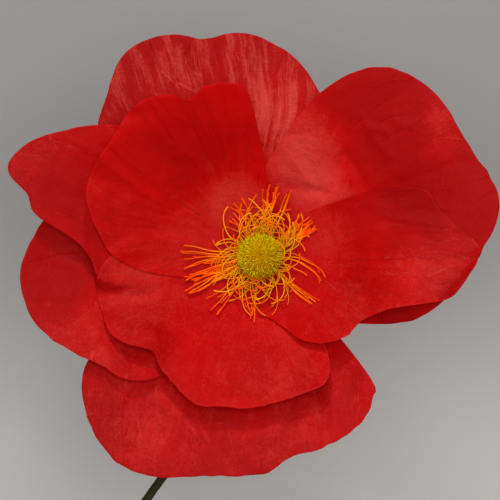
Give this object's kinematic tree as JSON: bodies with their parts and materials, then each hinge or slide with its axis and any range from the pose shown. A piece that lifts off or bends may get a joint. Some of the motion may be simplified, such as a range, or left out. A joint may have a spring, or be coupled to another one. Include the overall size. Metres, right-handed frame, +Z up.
{
  "type": "giant paper flower",
  "caption": "Large open poppy of cut and cupped red crepe paper, with a fringed yellow-green pod and orange stamens, on a curved tape-wrapped wire stem.",
  "frame": {"origin": "centre of the stem's cut foot, on its flat end", "axes": "+Z up, along the stem where it leaves its foot; -Y the way the flower faces; +X to the right of someone who looks at the flower"},
  "size_m": [0.4603, 0.2114, 0.7765],
  "materials": {
    "petal_paper": "matt red crepe paper with fine grain and soft pleats",
    "petal_paper_pale": "matt red crepe paper, lighter streaks along its pleats",
    "petal_paper_deep": "matt deep red crepe paper that light comes through",
    "stamen_paper": "orange-yellow crepe paper cut into curled strands",
    "pod_paper": "yellow-green crepe paper in fine fringe",
    "backing_card": "matt red card",
    "stem_tape": "dark olive waxed paper tape wound round wire"
  },
  "bodies": {
    "root": {"outer_petal_top": "petal_paper_pale", "outer_petal_bottom": "petal_paper", "outer_petal_right": "petal_paper", "outer_petal_lower_left": "petal_paper", "outer_petal_upper_left": "petal_paper", "inner_petal_bottom": "petal_paper", "inner_petal_upper_left": "petal_paper_deep", "inner_petal_right": "petal_paper", "stamen_fringe_outer": "stamen_paper", "stamen_fringe_middle": "stamen_paper", "stamen_fringe_inner": "stamen_paper", "seed_pod": "pod_paper", "backing_card": "backing_card", "stem_cup": "stem_tape", "stem": "stem_tape"}
  },
  "joints": []
}
